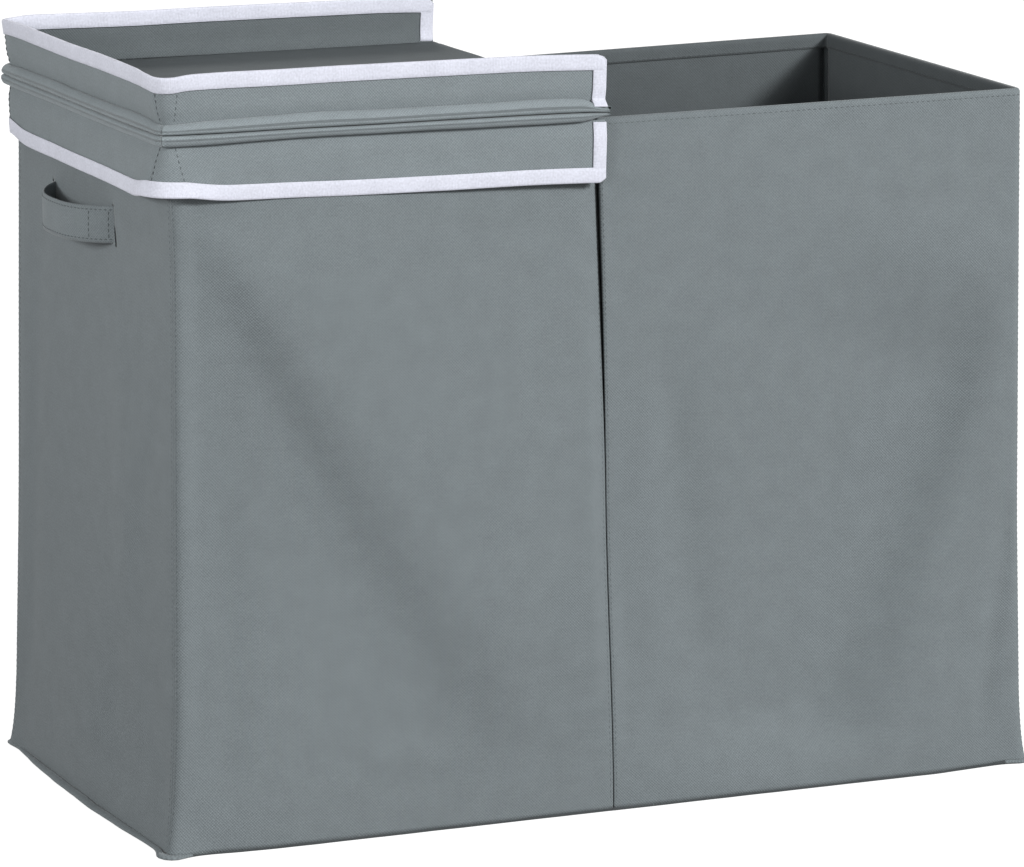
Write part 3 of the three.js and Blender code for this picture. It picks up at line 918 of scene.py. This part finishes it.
def roll_points(half, s):
    """Rings of the rolled edge: fullest near the fold plane, drawn in towards the skirt."""
    tall, reach, tip = roll_shape(half, s)
    angle = np.linspace(0, 2 * math.pi, 25)[:-1]
    power = 0.72
    across = np.sign(np.cos(angle)) * abs(np.cos(angle)) ** power
    up = np.sign(np.sin(angle)) * abs(np.sin(angle)) ** power
    share = (up + 1) / 2
    lean = 1 - (0.45 if half == "right" else 0.2) * share**2
    inner = 0.6 * MM
    grid_s = mesh_of(s, angle)[0]
    width = (reach[:, None] - inner) * lean[None, :]
    out = inner + width * (across[None, :] + 1) / 2
    h = 0.25 * MM + tall[:, None] * share[None, :] * (0.35 + 0.65 * tip[:, None])
    return lid_point(half, grid_s, out, h, 3 * MM)


def make_rolls(half):
    gap = 0.1 * MM
    from_fold = 1.5 * MM
    runs = {
        "front": (FRONT_CORNER + gap, PERIMETER - from_fold),
        "end": (BACK_CORNER + gap, FRONT_CORNER - gap),
        "back": (BACK_SEAM + from_fold, BACK_CORNER - gap),
    }
    for wall, (first, last) in runs.items():
        s = np.linspace(first, last, int((last - first) / LID_STEP))
        thing = tube_object(f"{half}_lid_roll_{wall}_cloth", roll_points(half, s), half == "left")
        place(thing, f"lid_{half}", f"{half}_lid_roll_{wall}")


def tape_profile(width):
    """Lift off the skirt and distance from its edge: up the outside, round the edge, up the inside."""
    outside = [(0.35, width), (0.62, width - 0.35), (0.7, width * 0.66), (0.7, width * 0.33),
               (0.72, 0.8)]
    turn = [(0.6, 0.15), (0.1, -0.25), (-0.4, -0.35), (-0.9, -0.25), (-1.4, 0.15)]
    inside = [(-1.5, 0.8), (-1.5, width * 0.33), (-1.5, width * 0.66), (-1.4, width - 0.35),
              (-1.15, width)]
    lift, up = np.array(outside + turn + inside).T
    return lift * MM, up * MM


def make_tape(half):
    """Binding round the skirts: along the hem, and up both free edges beside the hinge."""
    first, last = LID_FIRST, LID_LAST
    lift, up = tape_profile(TAPE_WIDTH / MM)
    s = np.linspace(first + 0.8 * MM, last - 0.8 * MM, 440)
    grid_s, grid_up = mesh_of(s, up)
    ripple = 0.12 * MM * soft_noise(grid_s, grid_up, 9, 8, 85)
    swell = np.where(lift > 0, 1, -1) * ripple
    h = hem_drop(half, grid_s) - grid_up
    corner = fade(np.minimum(grid_s - first, last - grid_s), 6)
    h = h - 3.5 * MM * (1 - corner) * (grid_up < 5 * MM)
    pieces = [skirt_point(half, grid_s, h, lift[None, :] + swell)]
    for edge, inward in ((first, 1), (last, -1)):
        low = (4.2 if half == "right" else 7.0) * MM
        rounded = 0.2 * MM + 2.6 * MM * smooth(1 - up / (3.4 * MM)) ** 2
        reach = hem_drop(half, np.array([edge])) - low - rounded
        grid_h = low + np.linspace(0, 1, 40)[:, None] * reach
        over = np.where(lift > 0, 0.35, -0.3) * MM
        over = over + (5 if half == "right" else 0) * MM * fade(9.5 * MM - grid_h, 5)
        drift = 1.5 * MM * (grid_h / SKIRT_DROP - 0.5) * (1 if half == "left" else -1)
        grid_s = edge + inward * (up[None, :] + 0 * grid_h) + inward * drift
        pieces.append(skirt_point(half, grid_s, grid_h, lift[None, :] + over)[:, ::inward])
    join_tape(half, pieces)


def join_tape(half, pieces):
    """The hem's tape and its two free ends, which run the other way round, as one piece."""
    faces, count = [], 0
    for i, points in enumerate(pieces):
        nu, nv = points.shape[:2]
        faces += (grid_faces(nu, nv, flip=(half == "right") != (i > 0)) + count).tolist()
        count += nu * nv
    vertices = np.concatenate([points.reshape(-1, 3) for points in pieces])
    uv = np.concatenate([cloth_places(points).reshape(-1, 2) for points in pieces])
    thing = new_object(f"{half}_lid_binding", vertices, faces, TAPE, uv)
    thicken(thing, 0.45 * MM)
    place(thing, f"lid_{half}", f"{half}_lid_tape")


def make_lid_panels(half):
    """Cover, board and lining of one lid half, each with its corners rounded at the free end."""
    for kind, thickness, stuff in (("cover", 0.7 * MM, COVER), ("board", 2.2 * MM, PRESSED_BOARD),
                                   ("lining", 0.7 * MM, LID_LINING)):
        node_name = f"{half}_lid_{kind}"
        low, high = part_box(node_name)
        outside = (half == "right") == (kind == "lining")
        level = high.z if outside else low.z
        trim = 7 * MM if kind == "board" else 0
        grid = panel_grid((low.x + trim, low.y + trim, level), (high.x - low.x - 3 * trim, 0, 0),
                          (0, high.y - low.y - 2 * trim, 0), (70, 70))
        x, y = grid[..., 0], grid[..., 1]
        edge = np.minimum(x - low.x, np.minimum(high.y - y, y - low.y))
        if kind == "lining":
            puff = 0.5 * MM * (1 + soft_noise(x, y, 70, 70, 95)) * fade(edge, 20)
            puff = puff - 0.3 * MM * bell(edge - 9 * MM, 1.2)
            grid[..., 2] += puff if half == "right" else -puff
        points = lid_settle(round_corners(grid, 6 * MM))
        thing = sheet_object(f"{node_name}_panel", points, stuff, thickness, flip=not outside)
        place(thing, f"lid_{half}", node_name)


def round_corners(grid, radius):
    """Pulls the corners at the free end of a flat grid onto an arc."""
    x, y = grid[..., 0], grid[..., 1]
    cx, cy = x.min() + radius, abs(y).max() - radius
    dx, dy = np.maximum(cx - x, 0), np.maximum(abs(y) - cy, 0)
    inside = (dx > 0) & (dy > 0)
    square = np.maximum(dx, dy)
    far = np.maximum(np.hypot(dx, dy), 1e-9)
    shrink = np.where(inside, square / far, 1)
    out = grid.copy()
    out[..., 0] = np.where(inside, cx - dx * shrink, x)
    out[..., 1] = np.where(inside, np.sign(y) * (cy + dy * shrink), y)
    return out


def make_hinge():
    """Cloth that turns round the fold between the two lid halves."""
    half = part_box("lid_hinge_cloth")[1].y - 1 * MM
    y = np.linspace(-half, half, 90)
    radius = 1.25 * MM
    turn = np.linspace(-math.pi / 2, math.pi / 2, 13)
    leaf = np.array([-7, -4.5]) * MM
    x = join(leaf, radius * np.cos(turn) * 0.9, leaf[::-1])
    z = join([-0.24 * MM] * 2, radius * np.sin(turn), [0.24 * MM] * 2)
    grid_y, grid_x = mesh_of(y, x)
    points = np.stack([grid_x, grid_y, np.broadcast_to(z, grid_x.shape) + FOLD_Z], -1)
    strip = sheet_object("lid_hinge_strip", points, COVER, 0.2 * MM)
    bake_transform(strip)
    mark(strip, "lid_hinge_cloth")


# ---------- handles ----------

SIGN = {"left": -1, "right": 1}


def strap_out(share):
    """How far the strap stands off the wall, from its front slit (-1) to its rear slit (1)."""
    near = np.clip(abs(share), 0, 1)
    peak = 1 + 0.1 * share
    bow = STRAP_BOW * (1 - near**2.5) * peak + 1.2 * MM * (1 - near**8)
    return np.where(abs(share) > 1, -1.7 * MM, bow - 1.7 * MM * smooth((near - 0.93) / 0.07))


def strap_point(sx, y, v, lift=0):
    """A point on the strap's outer face, v being the height from its middle line."""
    y, v = np.broadcast_arrays(y, v)
    x = strap_out((y - STRAP_Y) / SLIT) + lift
    curl = 0.5 * MM * (v / (13 * MM)) ** 2 * (x > 2 * MM)
    droop = -2.0 * MM * np.clip(x / STRAP_BOW, 0, 1)
    points = np.stack([sx * (HALF_W + x - curl), y, STRAP_MID + v + droop], -1)
    return settle(points, level=np.full(y.shape, STRAP_MID))


def blend_strap(thing):
    """Bakes a strap piece's placement into its mesh."""
    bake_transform(thing)


def make_strap(side):
    sx = SIGN[side]
    y = np.linspace(STRAP_FRONT, STRAP_REAR, 121)
    half = (STRAP_HIGH - STRAP_LOW) / 2
    grid_y, grid_v = mesh_of(y, np.linspace(-half, half, 13))
    points = strap_point(sx, grid_y, grid_v)
    strap = sheet_object(f"{side}_handle_strap", points, WEBBING, 1.3 * MM, flip=sx < 0)
    blend_strap(strap)
    mark(strap, f"{side}_handle_grip", f"{side}_handle_front_end", f"{side}_handle_rear_end")


# ---------- thread ----------


def cover_runs(name):
    """Rows of stitches on a wall cover: under the rim, on the hem inside and by the seams."""
    first, last = PANELS[name]
    level = np.linspace(first + 3 * MM, last - 3 * MM, 160)
    rise = np.linspace(8 * MM, RIM_Z - 7 * MM, 160)

    def inside(s, z):
        return cover_point(name, first + last - s, z, -2 * RIM_ROUND - 0.1 * MM, 0)

    sunk = partial(cover_point, name, out=-0.1 * MM)
    runs = [surface_run(partial(cover_point, name, out=0.02 * MM), level, RIM_Z - 4.6 * MM),
            surface_run(inside, level, RIM_Z - HEM_BAND + 1.6 * MM)]
    for edge, inward in ((first, 1), (last, -1)):
        seam = 1.9 * MM if min(edge, abs(edge - BACK_SEAM), PERIMETER - edge) < 1 * MM else 3.2 * MM
        runs.append(surface_run(sunk, edge + inward * seam, rise))
    return runs


def make_wall_threads():
    for name in PANELS:
        place(stitches(name.replace("cover", "stitches"), cover_runs(name)), "basket")


def make_skirt_threads(half):
    """Rows along both sides of the corner strips, and the dotted row on the binding tape."""
    outside, on_tape = [partial(skirt_point, half, lift=lift * MM) for lift in (0.1, 0.75)]
    h = np.linspace(8 * MM, SKIRT_DROP - 8 * MM, 30)
    share = (h / SKIRT_DROP) ** 1.5
    rows = ((FRONT_CORNER, -5, 0.3), (FRONT_CORNER, 7, 0), (BACK_CORNER, 5, 0.3), (BACK_CORNER, -7, 0))
    runs = [surface_run(outside, corner + offset * MM * (1 - draw * share), h)
            for corner, offset, draw in rows]
    if half == "left":
        runs = [(line, -normal) for line, normal in runs]
    place(stitches(f"{half}_lid_skirt_stitches", runs), f"lid_{half}")
    s = np.linspace(LID_SPAN[0] + 12 * MM, LID_SPAN[1] - 12 * MM, 400)
    band = surface_run(on_tape, s, hem_drop(half, s) - TAPE_WIDTH + 2.6 * MM)
    place(stitches(f"{half}_lid_tape_stitches", [band], 6.8, (0.45, 0.3, 0.2)), f"lid_{half}")


def make_lining_threads(half):
    """A row round each lid lining, near its edges."""
    low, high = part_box(f"{half}_lid_lining")
    inset = 17 * MM
    x0, x1, y1 = low.x + inset, high.x - inset, high.y - inset
    level = high.z + 0.15 * MM if half == "right" else low.z - 0.15 * MM
    corners = np.array([(x0, -y1), (x1, -y1), (x1, y1), (x0, y1), (x0, -y1)])
    share = np.linspace(0, 1, 80)[:, None]
    runs = []
    for a, b in zip(corners, corners[1:]):
        line = join(a * (1 - share) + b * share, 0 * share + level, axis=1)
        runs.append((lid_settle(line), np.tile((0.0, 0.0, 1.0), (80, 1))))
    place(stitches(f"{half}_lid_lining_stitches", runs), f"lid_{half}")


def make_strap_threads(side):
    """Rows along both edges of the strap, and across it near its slits."""
    half = (STRAP_HIGH - STRAP_LOW) / 2
    point = partial(strap_point, SIGN[side], lift=0.1 * MM)
    y = np.linspace(STRAP_Y - SLIT + 2 * MM, STRAP_Y + SLIT - 2 * MM, 120)
    runs = [surface_run(point, y, v) for v in (-half + 2.6 * MM, half - 2.6 * MM)]
    for where in (STRAP_Y - SLIT + 4 * MM, STRAP_Y - SLIT + 18 * MM, STRAP_Y + SLIT - 4 * MM):
        runs.append(surface_run(point, where, np.linspace(-half + 3 * MM, half - 3 * MM, 20)))
    thing = stitches(f"{side}_handle_stitches", runs, 4, (1.3, 0.4, 0.3))
    blend_strap(thing)
    mark(thing)


# ---------- making every piece ----------

make_wall_layers()
for panel in PANELS:
    make_cover(panel)
make_divider()
make_base()
for side in ("left", "right"):
    make_floor_panel(side)
    make_strap(side)
for half in LID_HALVES:
    make_rolls(half)
    make_skirts(half)
    make_tape(half)
    make_lid_panels(half)
make_hinge()
make_wall_threads()
for half in LID_HALVES:
    make_skirt_threads(half)
    make_lining_threads(half)
for side in ("left", "right"):
    make_strap_threads(side)

# ---------- camera, light and floor ----------


CAMERA_AT = (-1.595, -3.791, 1.101)
CAMERA_DOWN, CAMERA_ASIDE = 0.2066, -0.397  # radians
SENSOR, LENS = 36, 203.6  # millimetres
FLOOR_WIDTH = 30


def make_camera():
    """The photo's camera, as fitted to the hamper's seams and corners."""
    data = bpy.data.cameras.new("camera")
    data.sensor_width = SENSOR
    data.lens = LENS
    data.clip_end = 100
    camera = add_object("camera", data)
    camera.location = CAMERA_AT
    camera.rotation_euler = (math.pi / 2 - CAMERA_DOWN, 0, CAMERA_ASIDE)
    bpy.context.scene.camera = camera


def make_floor():
    """A large pale floor that lights up evenly, so that it stays white behind the hamper."""
    material = new_material("pale_floor", Base_Color=(0.15, 0.15, 0.15, 1), Roughness=0.9,
                            Emission_Color=(1, 1, 1, 1), Emission_Strength=0.92)[0]
    start = (-FLOOR_WIDTH / 2, -FLOOR_WIDTH / 2, 0)
    points = panel_grid(start, (FLOOR_WIDTH, 0, 0), (0, FLOOR_WIDTH, 0), (2, 2))
    floor = new_object("floor", points, grid_faces(2, 2).tolist(), material, cloth_places(points))
    floor.visible_diffuse = False


def make_lamp(name, kind, energy, toward):
    """A lamp that shines back along the direction given."""
    data = bpy.data.lights.new(name, kind)
    data.energy = energy
    x, y, z = toward
    lamp = add_object(name, data)
    lamp.rotation_euler = (math.atan2(math.hypot(x, y), z), 0, math.atan2(y, x) + math.pi / 2)
    return lamp


def make_area(name, location, target, size, power):
    """A round softbox that faces its target."""
    lamp = make_lamp(name, "AREA", power, np.array(location) - np.array(target))
    lamp.data.shape = "DISK"
    lamp.data.size = size
    lamp.location = location


def make_sun(name, toward, strength, spread):
    """A far softbox in the direction given, with soft-edged shadows."""
    make_lamp(name, "SUN", strength, toward).data.angle = math.radians(spread)


def make_light():
    world = bpy.data.worlds.new("studio")
    world.use_nodes = True
    background = world.node_tree.nodes["Background"]
    background.inputs["Color"].default_value = (1, 1, 1, 1)
    background.inputs["Strength"].default_value = 0.24
    bpy.context.scene.world = world
    make_sun("sun", (0.5, -0.76, 0.4), 3.0, 9)
    make_sun("back_sun", (0.15, 0.85, 0.5), 1.1, 20)
    make_area("key", (1.1, -1.5, 1.2), (0.1, 0, 0.45), 0.6, 21)
    make_area("fill", (-1.5, -1.4, 0.8), (-0.3, 0, 0.45), 0.6, 11)
    make_area("side", (-1.7, -0.2, 0.9), (-0.3, 0, 0.45), 0.4, 15)
    view = bpy.context.scene.view_settings
    view.view_transform = "Standard"
    view.look = "None"


make_camera()
make_floor()
make_light()
